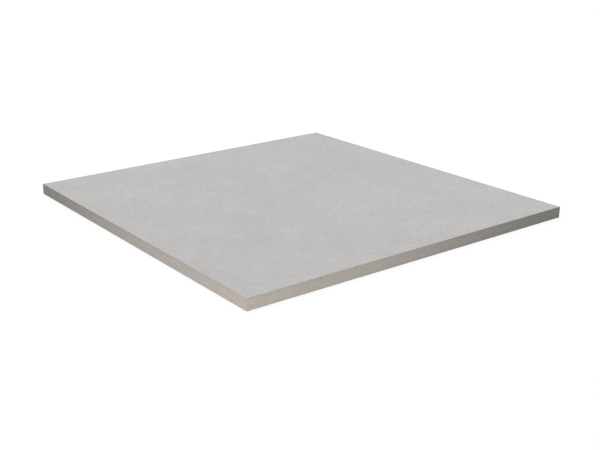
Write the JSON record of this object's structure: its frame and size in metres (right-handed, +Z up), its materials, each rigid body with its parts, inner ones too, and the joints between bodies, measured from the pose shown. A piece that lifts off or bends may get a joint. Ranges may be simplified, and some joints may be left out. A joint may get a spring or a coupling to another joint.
{
  "type": "porcelain paving slab",
  "caption": "Square matt porcelain paving slab with ground sides, a fine bevel round the walking face and a grid of shallow key pockets pressed in the underside.",
  "frame": {"origin": "middle of the slab's bearing plane, which is the underside of its ribs and border", "axes": "+Z up, from the bearing plane to the walking face; X along the length and Y along the width"},
  "size_m": [0.6, 0.6, 0.018],
  "materials": {
    "porcelain": "matte"
  },
  "bodies": {
    "root": {"slab": "porcelain"}
  },
  "joints": []
}
